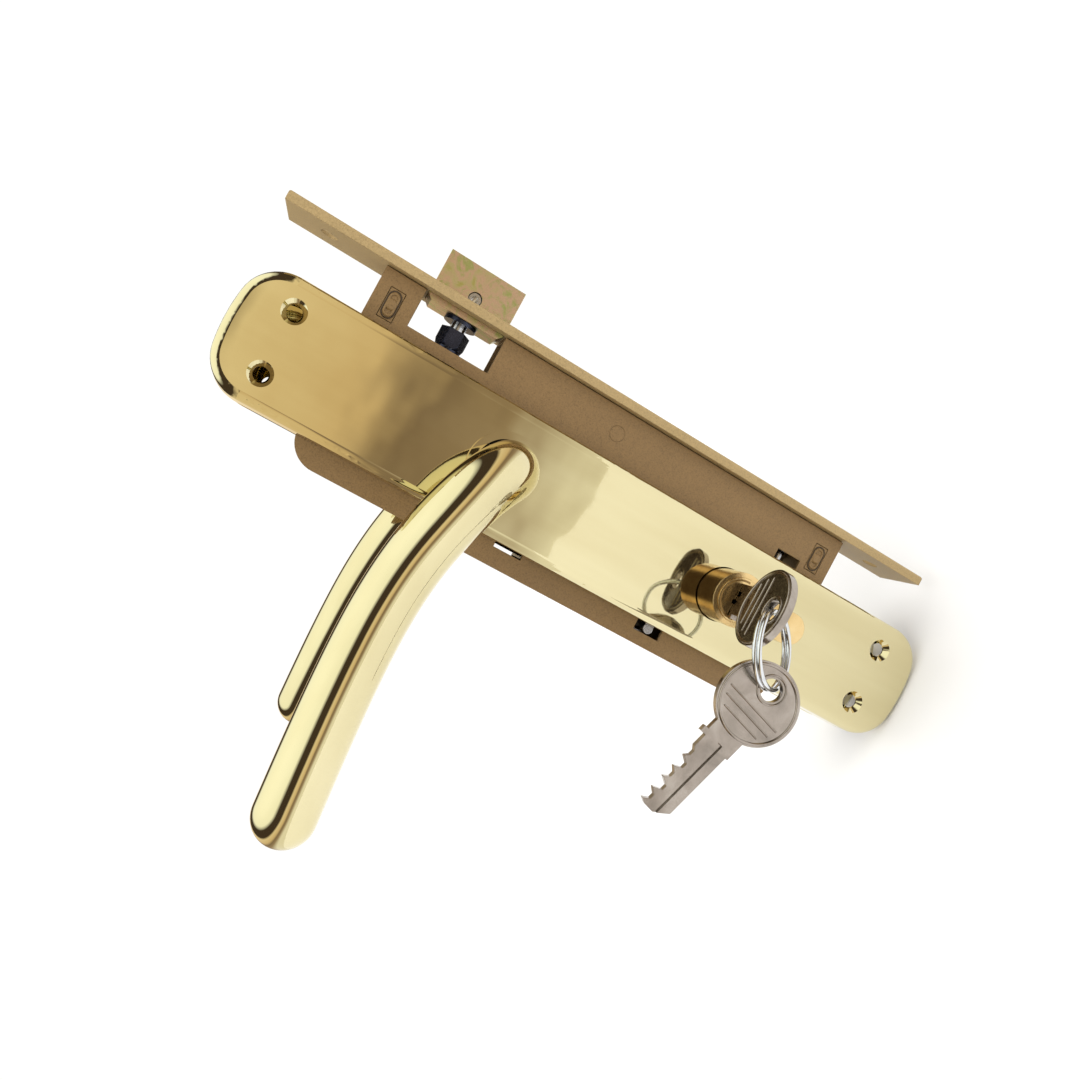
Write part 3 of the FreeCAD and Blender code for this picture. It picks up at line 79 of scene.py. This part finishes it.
class Tree:
    """Short names for building a node tree."""

    def __init__(self, tree):
        self.tree = tree

    def add(self, kind, **values):
        node = self.tree.nodes.new(kind)
        for name, value in values.items():
            if hasattr(node, name):
                setattr(node, name, value)
            else:
                node.inputs[name.replace("_", " ")].default_value = value
        return node

    def link(self, source, target):
        self.tree.links.new(source, target)

    def coords(self, scale=(1, 1, 1)):
        where = self.add("ShaderNodeTexCoord")
        mapping = self.add("ShaderNodeMapping")
        mapping.inputs["Scale"].default_value = scale
        self.link(where.outputs["Object"], mapping.inputs["Vector"])
        return mapping.outputs["Vector"]

    def noise(self, vector, scale, detail=3.0, roughness=0.55, distortion=0.0):
        node = self.add("ShaderNodeTexNoise")
        node.inputs["Scale"].default_value = scale
        node.inputs["Detail"].default_value = detail
        node.inputs["Roughness"].default_value = roughness
        node.inputs["Distortion"].default_value = distortion
        self.link(vector, node.inputs["Vector"])
        return node.outputs["Fac"]

    def ramp(self, value, stops):
        node = self.add("ShaderNodeValToRGB")
        elements = node.color_ramp.elements
        while len(elements) < len(stops):
            elements.new(0.5)
        for element, (place, colour) in zip(elements, stops):
            element.position = place
            element.color = (*colour, 1.0) if len(colour) == 3 else colour
        self.link(value, node.inputs["Fac"])
        return node.outputs["Color"]

    def math(self, operation, first, second=0.0):
        node = self.add("ShaderNodeMath", operation=operation)
        for socket, value in zip(node.inputs, (first, second)):
            if isinstance(value, (int, float)):
                socket.default_value = value
            else:
                self.link(value, socket)
        return node.outputs["Value"]

    def mix(self, share, first, second):
        """Two colours mixed; a share, or either colour, is a number, a colour or a socket."""
        node = self.add("ShaderNodeMix", data_type="RGBA", blend_type="MIX")
        for socket, value in zip((node.inputs[0], node.inputs[6], node.inputs[7]), (share, first, second)):
            if isinstance(value, (int, float)):
                socket.default_value = value
            elif isinstance(value, tuple):
                socket.default_value = (*value, 1.0)
            else:
                self.link(value, socket)
        return node.outputs[2]

    def bump(self, height, strength, distance, normal=None):
        node = self.add("ShaderNodeBump")
        node.inputs["Strength"].default_value = strength
        node.inputs["Distance"].default_value = distance
        self.link(height, node.inputs["Height"])
        if normal is not None:
            self.link(normal, node.inputs["Normal"])
        return node.outputs["Normal"]

    def soft_edges(self, radius):
        node = self.add("ShaderNodeBevel", samples=4)
        node.inputs["Radius"].default_value = radius
        return node.outputs["Normal"]


def surface(name, metallic, roughness):
    """A material with a Principled shader, its values set on the shader itself."""
    material = bpy.data.materials.new(name)
    material.use_nodes = True
    tree = Tree(material.node_tree)
    shader = material.node_tree.nodes["Principled BSDF"]
    shader.inputs["Metallic"].default_value = metallic
    shader.inputs["Roughness"].default_value = roughness
    return material, tree, shader


def grey(value):
    return (value, value, value)


def gold(name, brush, waviness):
    """Polished brass: yellow, with a faint drawn grain and slow waves."""
    material, tree, shader = surface(name, 1.0, 0.08)
    stretched = tree.coords(brush)
    even = tree.coords()
    tint = tree.ramp(tree.noise(stretched, 60, 4), [
        (0.25, (0.62, 0.54, 0.31)),
        (0.55, (0.68, 0.61, 0.37)),
        (0.8, (0.73, 0.66, 0.42)),
    ])
    tree.link(tint, shader.inputs["Base Color"])
    rough = tree.ramp(tree.noise(stretched, 400, 5), [(0.3, grey(0.02)), (0.75, grey(0.055))])
    tree.link(rough, shader.inputs["Roughness"])
    waves = tree.bump(tree.noise(even, 38, 2, 0.4), waviness, 0.004)
    grain = tree.bump(tree.noise(stretched, 900, 3), 0.015, 0.0002, waves)
    tree.link(grain, shader.inputs["Normal"])
    return material


def paint(name, light, dark, edge=0.00025):
    """Gold-brown paint with a fine sandy grain, dark specks and slightly brighter rubbed edges."""
    material, tree, shader = surface(name, 0.15, 0.5)
    even = tree.coords()
    grain = tree.noise(even, 2600, 4, 0.7)
    cloud = tree.noise(even, 60, 3)
    tint = tree.ramp(grain, [(0.30, dark), (0.46, light), (0.70, tuple(min(1, c * 1.25) for c in light))])
    worn = tree.mix(tree.ramp(cloud, [(0.35, grey(0.0)), (0.75, grey(0.22))]), tint,
                    tuple(min(1, c * 1.3) for c in light))
    tree.link(worn, shader.inputs["Base Color"])
    rough = tree.ramp(grain, [(0.3, grey(0.40)), (0.7, grey(0.60))])
    tree.link(rough, shader.inputs["Roughness"])
    normal = tree.bump(grain, 0.3, 0.00010, tree.soft_edges(edge))
    tree.link(normal, shader.inputs["Normal"])
    return material


def plated(name, colours, roughness, cloud=70, edge=0.0002, grain=0.12, metallic=1.0):
    """Bare or plated steel: cloudy tone, fine scratches and softened edges."""
    material, tree, shader = surface(name, metallic, sum(roughness) / 2)
    even = tree.coords()
    scratch = tree.coords((1, 1, 9))
    tint = tree.ramp(tree.noise(even, cloud, 4, 0.6, 0.4),
                     [(0.3 + 0.4 * i / max(1, len(colours) - 1), c) for i, c in enumerate(colours)])
    tree.link(tint, shader.inputs["Base Color"])
    fine = tree.noise(scratch, 1500, 4)
    rough = tree.ramp(fine, [(0.3, grey(roughness[0])), (0.75, grey(roughness[1]))])
    tree.link(rough, shader.inputs["Roughness"])
    normal = tree.bump(fine, grain, 0.0001, tree.soft_edges(edge))
    tree.link(normal, shader.inputs["Normal"])
    return material


PLATE = gold("plate_gold", (1, 1, 0.12), 0.10)
LEVER = gold("lever_gold", (0.3, 1, 1), 0.03)
CASE = paint("case_paint", (0.215, 0.130, 0.050), (0.13, 0.076, 0.028))
# The forend has the case's own paint; these lighter colours are painted light, standing in for the light falling on
# the forend's face.
LIT_FOREND = paint("forend_paint_lit", (0.36, 0.255, 0.115), (0.24, 0.165, 0.07), 0.0004)
ZINC = plated("zinc", [(0.36, 0.30, 0.11), (0.44, 0.38, 0.19), (0.46, 0.32, 0.24), (0.34, 0.36, 0.17)],
              (0.25, 0.4), 110)
SALMON = plated("latch_zinc", [(0.50, 0.49, 0.17), (0.60, 0.55, 0.30), (0.70, 0.51, 0.38), (0.46, 0.52, 0.21),
                               (0.58, 0.54, 0.30)], (0.25, 0.4), 150)
BLACK = plated("black_oxide", [(0.02, 0.024, 0.04), (0.045, 0.05, 0.08)], (0.16, 0.34), 200, 0.0002, 0.1, 0.8)
STEEL = plated("bright_steel", [(0.42, 0.42, 0.43), (0.66, 0.66, 0.67)], (0.12, 0.28), 120)
SPRING = plated("spring_wire", [(0.10, 0.10, 0.105), (0.24, 0.24, 0.25)], (0.2, 0.36), 150)
CYLINDER = plated("cylinder_brass", [(0.58, 0.40, 0.17), (0.76, 0.56, 0.27), (0.84, 0.67, 0.38)],
                  (0.10, 0.2), 60, 0.0003)
NICKEL = plated("warm_nickel", [(0.25, 0.22, 0.19), (0.36, 0.315, 0.275), (0.47, 0.425, 0.38)],
                (0.13, 0.26), 90, 0.0002, 0.05)
CHROME = plated("ring_chrome", [(0.55, 0.57, 0.60), (0.76, 0.78, 0.81)], (0.05, 0.12), 80, 0.0001, 0.04)
# Near-black paint for the rings round the tenons: painted shade of the crevice at each joint.
SHADOW = paint("joint_shade_paint", (0.05, 0.032, 0.016), (0.025, 0.016, 0.008))
PLASTIC = plated("bush_plastic", [(0.02, 0.02, 0.02), (0.035, 0.035, 0.035)], (0.4, 0.6), 300, 0.0002, 0.2, 0.0)

FINISH = {
    PLATE: "front_plate rear_plate front_collar rear_collar",
    LEVER: "front_lever rear_lever",
    CASE: "case_base case_cover spacer_bars case_posts",
    # The forend and its screws get the lighter, painted-light copy of the case paint.
    LIT_FOREND: "forend forend_screws",
    SALMON: "latch_head",
    ZINC: "dead_bolt bolt_tail follower",
    BLACK: "latch_washer latch_nut latch_locknut grub_screws cam",
    STEEL: "latch_shank latch_pin latch_yoke latch_spring_seat return_spring_seat bolt_rivets bolt_post bolt_tumbler "
           "tumbler_stud spindle cam_clutch cylinder_screw",
    SPRING: "latch_spring return_spring driver_springs tumbler_spring lever_clips",
    CYLINDER: "cylinder_body front_plug rear_plug key_pins driver_pins",
    NICKEL: "lock_key spare_key",
    CHROME: "key_ring",
    PLASTIC: "front_bush rear_bush",
}
for material, names in FINISH.items():
    for name in names.split():
        slots = NODES[name].data.materials
        if len(slots) == 0:
            slots.append(material)
        for i in range(len(slots)):
            slots[i] = material


# ---------------------------------------------------------------- mesh helpers

def make_piece(name, vertices, faces, material, body, slot, sharp=35.0):
    """A mesh with smooth faces and sharp creases, riding on a CAD body."""
    mesh = bpy.data.meshes.new(name)
    mesh.from_pydata([tuple(v) for v in vertices], [], faces)
    work = bmesh.new()
    work.from_mesh(mesh)
    bmesh.ops.recalc_face_normals(work, faces=work.faces)
    for face in work.faces:
        face.smooth = True
    for edge in work.edges:
        edge.smooth = len(edge.link_faces) == 2 and edge.calc_face_angle(0.0) < math.radians(sharp)
    work.to_mesh(mesh)
    work.free()
    piece = bpy.data.objects.new(name, mesh)
    bpy.context.scene.collection.objects.link(piece)
    mesh.materials.append(material)
    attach(piece, body)
    return piece


def frame_for(direction):
    """Two unit vectors across a direction."""
    direction = direction.normalized()
    helper = Vector((0, 0, 1)) if abs(direction.z) < 0.9 else Vector((1, 0, 0))
    first = direction.cross(helper).normalized()
    return first, direction.cross(first).normalized()


def lathe(profile, origin, direction, count=64):
    """Vertices and faces of a profile of (distance along, radius), turned about an axis. A radius of 0 closes it."""
    direction = Vector(direction).normalized()
    first, second = frame_for(direction)
    vertices = []
    rings = []
    for along, radius in profile:
        middle = Vector(origin) + direction * along
        if radius <= 0:
            rings.append([len(vertices)])
            vertices.append(middle)
            continue
        ring = []
        for i in range(count):
            turn = 2 * math.pi * i / count
            ring.append(len(vertices))
            vertices.append(middle + (first * math.cos(turn) + second * math.sin(turn)) * radius)
        rings.append(ring)
    faces = []
    for low, high in zip(rings, rings[1:]):
        for i in range(count):
            j = (i + 1) % count
            if len(low) == 1 and len(high) > 1:
                faces.append((low[0], high[i], high[j]))
            elif len(high) == 1 and len(low) > 1:
                faces.append((low[i], high[0], low[j]))
            elif len(low) > 1:
                faces.append((low[i], high[i], high[j], low[j]))
    return vertices, faces


def sweep(points, radii, count=32, closed=False):
    """A round bar along points."""
    vertices = []
    faces = []
    total = len(points)
    side = None
    for i, point in enumerate(points):
        before = points[i - 1] if i > 0 or closed else points[i]
        after = points[(i + 1) % total] if i < total - 1 or closed else points[i]
        way = (after - before).normalized()
        if side is None:
            side, _ = frame_for(way)
        side = (side - way * side.dot(way)).normalized()
        other = way.cross(side)
        for k in range(count):
            turn = 2 * math.pi * k / count
            vertices.append(point + (side * math.cos(turn) + other * math.sin(turn)) * radii[i])
    spans = total if closed else total - 1
    for i in range(spans):
        for k in range(count):
            j = (k + 1) % count
            a = i * count
            b = ((i + 1) % total) * count
            faces.append((a + k, a + j, b + j, b + k))
    if not closed:
        faces.append(tuple(reversed(range(count))))
        faces.append(tuple(range((total - 1) * count, total * count)))
    return vertices, faces


def circle(middle, first, second, radius, count):
    """Points round a circle in the plane of two unit vectors."""
    turns = [2 * math.pi * i / count for i in range(count)]
    return [middle + (first * math.cos(turn) + second * math.sin(turn)) * radius for turn in turns]


def join(parts):
    """Several (vertices, faces) as one."""
    vertices = []
    faces = []
    for some, shapes in parts:
        base = len(vertices)
        vertices += list(some)
        faces += [tuple(v + base for v in shape) for shape in shapes]
    return vertices, faces


def natural_spline(points, steps):
    """A smooth line through points: the natural cubic spline, by distance between them."""
    places = [0.0]
    for a, b in zip(points, points[1:]):
        places.append(places[-1] + (b - a).length)
    count = len(points)
    moments = [Vector((0, 0, 0)) for _ in points]
    upper = [0.0] * count
    for i in range(1, count - 1):
        low = places[i] - places[i - 1]
        high = places[i + 1] - places[i]
        slope = (points[i + 1] - points[i]) / high - (points[i] - points[i - 1]) / low
        pivot = 2 * (low + high) - low * upper[i - 1]
        upper[i] = high / pivot
        moments[i] = (slope * 6 - moments[i - 1] * low) / pivot
    moments[-1] = Vector((0, 0, 0))
    for i in range(count - 2, 0, -1):
        moments[i] = moments[i] - moments[i + 1] * upper[i]
    line = []
    for i in range(count - 1):
        span = places[i + 1] - places[i]
        parts = max(2, round(steps * span / places[-1]))
        for k in range(parts + (1 if i == count - 2 else 0)):
            t = k / parts * span
            r = span - t
            line.append((points[i] * r + points[i + 1] * t) / span
                        - (moments[i] * (r * span - r ** 3 / span) + moments[i + 1] * (t * span - t ** 3 / span)) / 6)
    return line


# ---------------------------------------------------------------- levers

def lever_line(side):
    """The lever's middle line, from inside the plate to the middle of its round tip."""
    stations = [(0, -7.6, 0), (0, -11.6, 0), (0, -15.6, 0), (0, -20.05, 0), (0, -24.5, 0), (-6.02, -38.5, 5.05),
                (-27.04, -42.0, 12.39), (-65.0, -46.0, 15.3), (-104.0, -54.5, 13.31)]
    points = [SPINDLE + Vector((x, y * side, z)) * MM for x, y, z in stations]
    line = natural_spline(points, 150)
    start = -15.6 * MM
    return [p for p in line if p.y * side <= start + 1e-6]


def make_lever(name, side):
    line = lever_line(side)
    lengths = [0.0]
    for a, b in zip(line, line[1:]):
        lengths.append(lengths[-1] + (b - a).length)
    radii = [(NECK_RADIUS + (TIP_RADIUS - NECK_RADIUS) * s / lengths[-1]) * MM for s in lengths]
    way = (line[-1] - line[-2]).normalized()
    tip = line[-1]
    for i in range(1, 17):
        turn = math.pi / 2 * i / 16.5
        line.append(tip + way * TIP_RADIUS * MM * math.sin(turn))
        radii.append(TIP_RADIUS * MM * math.cos(turn))
    line.insert(0, line[0] + Vector((0, -0.25 * MM * side, 0)))
    line[0], line[1] = line[1], line[0]
    radii.insert(0, radii[0] - 0.25 * MM)
    bar = sweep(line, radii, 64)
    spigot = lathe([(0, 0), (0, 7.0 * MM), (6.75 * MM, 7.0 * MM), (6.95 * MM, 6.8 * MM), (6.95 * MM, 4.2 * MM),
                    (0.2 * MM, 4.2 * MM), (0.2 * MM, 0)], SPINDLE + Vector((0, -15.55 * side, 0)) * MM, (0, side, 0))
    vertices, faces = join([bar, spigot])
    piece = make_piece(name, vertices, faces, LEVER, "handle", "gold", 50)
    return piece


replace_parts(make_lever("front_lever_shell", 1), "front_lever")
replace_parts(make_lever("rear_lever_shell", -1), "rear_lever")


# ---------------------------------------------------------------- springs

def coil(start, direction, length, radius, wire, turns, per_turn=28):
    """A compression spring with its end turns closed up."""
    direction = Vector(direction).normalized()
    first, second = frame_for(direction)
    points = []
    total = int(turns * per_turn)
    travel = length - 2 * wire
    dead = 2 * wire * 1.02 / travel
    for i in range(total + 1):
        turn = i / total * turns
        if turn < 1:
            height = dead * turn
        elif turn > turns - 1:
            height = 1 - dead * (turns - turn)
        else:
            height = dead + (1 - 2 * dead) * (turn - 1) / (turns - 2)
        angle = 2 * math.pi * turn
        points.append(Vector(start) + direction * (wire + travel * height)
                      + (first * math.cos(angle) + second * math.sin(angle)) * radius)
    return sweep(points, [wire] * len(points), 12)


latch_spring = make_piece("latch_spring_coil", *coil((-0.05785, 0, LATCH_Z), (1, 0, 0), 0.01720, 0.00368, 0.0005, 8),
                          SPRING, "lock_case", "spring_steel", 60)
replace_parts(latch_spring, "latch_spring")
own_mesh(latch_spring)
return_x = -BACKSET - 0.017 * math.cos(math.radians(18))
return_spring = make_piece("return_spring_coil", *coil((return_x, 0, 0.009), (0, 0, 1), 0.02135, 0.0029, 0.0005, 9),
                           SPRING, "lock_case", "spring_steel", 60)
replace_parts(return_spring, "return_spring")
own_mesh(return_spring)


# ---------------------------------------------------------------- staked tenons

def oblong(middle, half_long, half_wide, y, steps=10):
    """A closed line round a slot with rounded ends, long along X, at a height y."""
    reach = half_long - half_wide
    points = []
    for centre, start in ((reach, -math.pi / 2), (-reach, math.pi / 2)):
        for i in range(steps + 1):
            turn = start + math.pi * i / steps
            points.append(Vector((middle[0] + centre + half_wide * math.cos(turn), y,
                                  middle[1] + half_wide * math.sin(turn))))
    return points


def stakes():
    """On both sheets, a punched dimple and a raised collar on each tenon's end, and a near-black ring round it: the
    joint line, with the shade in its crevice painted in.
    """
    low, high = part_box("spacer_bars")
    raised, shade_rings = [], []
    for face in (low[1], high[1]):
        out = math.copysign(1.0, face)
        for z in STAKES_Z:
            # A ring just proud of the sheet, painted near-black for the shade in the joint round the tenon.
            joint = oblong((STAKE_X, z), 4.15 * MM, 1.95 * MM, face + out * 0.02 * MM)
            shade_rings.append(sweep(joint, [0.22 * MM] * len(joint), 8, closed=True))
            collar = oblong((STAKE_X, z), 3.35 * MM, 1.35 * MM, face)
            raised.append(sweep(collar, [0.42 * MM] * len(collar), 10, closed=True))
            dimple = [(-0.2, 1.75), (0.25, 1.7), (0.5, 1.35), (0.58, 0.8), (0.45, 0.0)]
            raised.append(lathe([(along * MM, radius * MM) for along, radius in dimple],
                                (STAKE_X, face, z), (0, out, 0), 32))
    make_piece("tenon_stakes", *join(raised), CASE, "lock_case", "case_paint", 50)
    # The near-black rings round the tenons: painted shade of each joint's crevice, laid on the sheet rather than cut
    # in.
    make_piece("tenon_joint_shade", *join(shade_rings), SHADOW, "lock_case", "case_paint", 50)


stakes()


# ---------------------------------------------------------------- keys: raised rims and lines

def key_relief(name, bow, across, along, up, body):
    """Raised rim, a ring round the hole and three lines on both faces of a key's bow."""
    parts = []
    for side in (-1, 1):
        face = bow + across * side * 1.1 * MM
        rim = circle(face, along, up, 11.1 * MM, 72)
        parts.append(sweep(rim, [0.42 * MM] * len(rim), 10, closed=True))
        ring = circle(face - along * EYE_PLACE, along, up, 4.15 * MM, 48)
        parts.append(sweep(ring, [0.30 * MM] * len(ring), 10, closed=True))
        for step in (1.8, 4.4, 7.0):
            half = math.sqrt(10.0 ** 2 - step ** 2) - 0.6
            ends = [face + along * step * MM + up * v * MM for v in (-half, -half * 0.5, 0, half * 0.5, half)]
            parts.append(sweep(ends, [0.26 * MM] * 5, 8))
    return make_piece(name, *join(parts), NICKEL, body, "nickel", 60)


key_relief("lock_key_relief", Vector((-BACKSET, -0.0465, CYLINDER_Z)),
           Vector((0, 0, 1)), Vector((0, 1, 0)), Vector((1, 0, 0)), "key_set")
key_relief("spare_key_relief", Vector((-0.0641024, -0.0561568, -0.0573465)),
           Vector((0.0448507, -0.9902681, 0.1317481)), Vector((-0.9466493, 0.0, 0.3222657)),
           Vector((-0.3191294, -0.1391731, -0.9374365)), "spare")


# ---------------------------------------------------------------- floor, light and camera

def floor():
    """A pale round floor."""
    vertices = [(0, 0, cad_box[0][2] - 0.0002)]
    for i in range(96):
        turn = 2 * math.pi * i / 96
        vertices.append((0.5 * math.cos(turn), 0.5 * math.sin(turn), vertices[0][2]))
    mesh = bpy.data.meshes.new("floor")
    mesh.from_pydata(vertices, [], [(0, i + 1, (i + 1) % 96 + 1) for i in range(96)])
    sheet = bpy.data.objects.new("floor", mesh)
    bpy.context.scene.collection.objects.link(sheet)
    material, tree, shader = surface("floor", 0.0, 0.8)
    tint = tree.ramp(tree.noise(tree.coords(), 3, 2), [(0.3, grey(0.88)), (0.7, grey(0.90))])
    tree.link(tint, shader.inputs["Base Color"])
    mesh.materials.append(material)


def area_light(name, place, target, size, power):
    data = bpy.data.lights.new(name, "AREA")
    data.shape = "RECTANGLE"
    data.size = size[0]
    data.size_y = size[1]
    data.energy = power
    lamp = bpy.data.objects.new(name, data)
    lamp.visible_glossy = False
    bpy.context.scene.collection.objects.link(lamp)
    lamp.location = place
    lamp.rotation_euler = (Vector(target) - Vector(place)).to_track_quat("-Z", "Y").to_euler()


def studio():
    """Plain soft light from all round: white to the camera and to matt surfaces. What the metal reflects changes only
    with height: a pale floor, a soft brown band, a warm wall, a dark flag and a broad soft light overhead."""
    world = bpy.data.worlds.new("studio")
    bpy.context.scene.world = world
    world.use_nodes = True
    world.node_tree.nodes.clear()
    tree = Tree(world.node_tree)
    parts = tree.add("ShaderNodeSeparateXYZ")
    tree.link(tree.add("ShaderNodeTexCoord").outputs["Generated"], parts.inputs["Vector"])
    height = parts.outputs["Z"]
    room = tree.ramp(tree.math("ADD", tree.math("MULTIPLY", height, 0.5), 0.5), [
        (0.37, (1.05, 1.02, 0.92)), (0.43, (0.42, 0.32, 0.22)), (0.47, (0.30, 0.22, 0.15)),
        (0.51, (0.86, 0.66, 0.40)), (0.58, (1.00, 0.84, 0.56)), (0.62, (0.07, 0.05, 0.035)),
        (0.76, (0.07, 0.05, 0.035)), (0.83, (1.30, 1.34, 1.24)), (1.0, (1.45, 1.48, 1.38))])
    reflected = tree.add("ShaderNodeBackground")
    tree.link(room, reflected.inputs["Color"])
    soft = tree.add("ShaderNodeBackground")
    soft.inputs["Color"].default_value = (1.0, 0.99, 0.97, 1)
    soft.inputs["Strength"].default_value = 1.05
    path = tree.add("ShaderNodeLightPath")
    mix = tree.add("ShaderNodeMixShader")
    tree.link(path.outputs["Is Glossy Ray"], mix.inputs["Fac"])
    tree.link(soft.outputs[0], mix.inputs[1])
    tree.link(reflected.outputs[0], mix.inputs[2])
    output = tree.add("ShaderNodeOutputWorld")
    tree.link(mix.outputs[0], output.inputs["Surface"])
    bpy.context.scene.view_settings.view_transform = "Standard"


def camera():
    data = bpy.data.cameras.new("camera")
    data.lens = 29.4
    data.sensor_width = 36.0
    data.clip_start = 0.01
    data.shift_x = 0.0034
    data.shift_y = 0.0137
    eye = bpy.data.objects.new("camera", data)
    bpy.context.scene.collection.objects.link(eye)
    turn = Matrix(((0.474466, 0.880024, -0.020965),
                   (-0.222513, 0.096857, -0.970106),
                   (-0.851686, 0.464948, 0.241772)))
    eye.matrix_world = Matrix.Translation((-0.062061, -0.273056, 0.071326)) @ turn.to_4x4()
    bpy.context.scene.camera = eye


floor()
studio()
area_light("key_light", (-0.5, -0.7, 0.9), (-0.04, 0, 0), (0.7, 0.5), 6)
area_light("fill_light", (0.8, -0.5, 0.3), (-0.04, 0, 0), (0.6, 0.9), 2.5)
area_light("rim_light", (-0.2, 0.9, 0.8), (-0.04, 0, 0), (0.8, 0.4), 2.5)
camera()
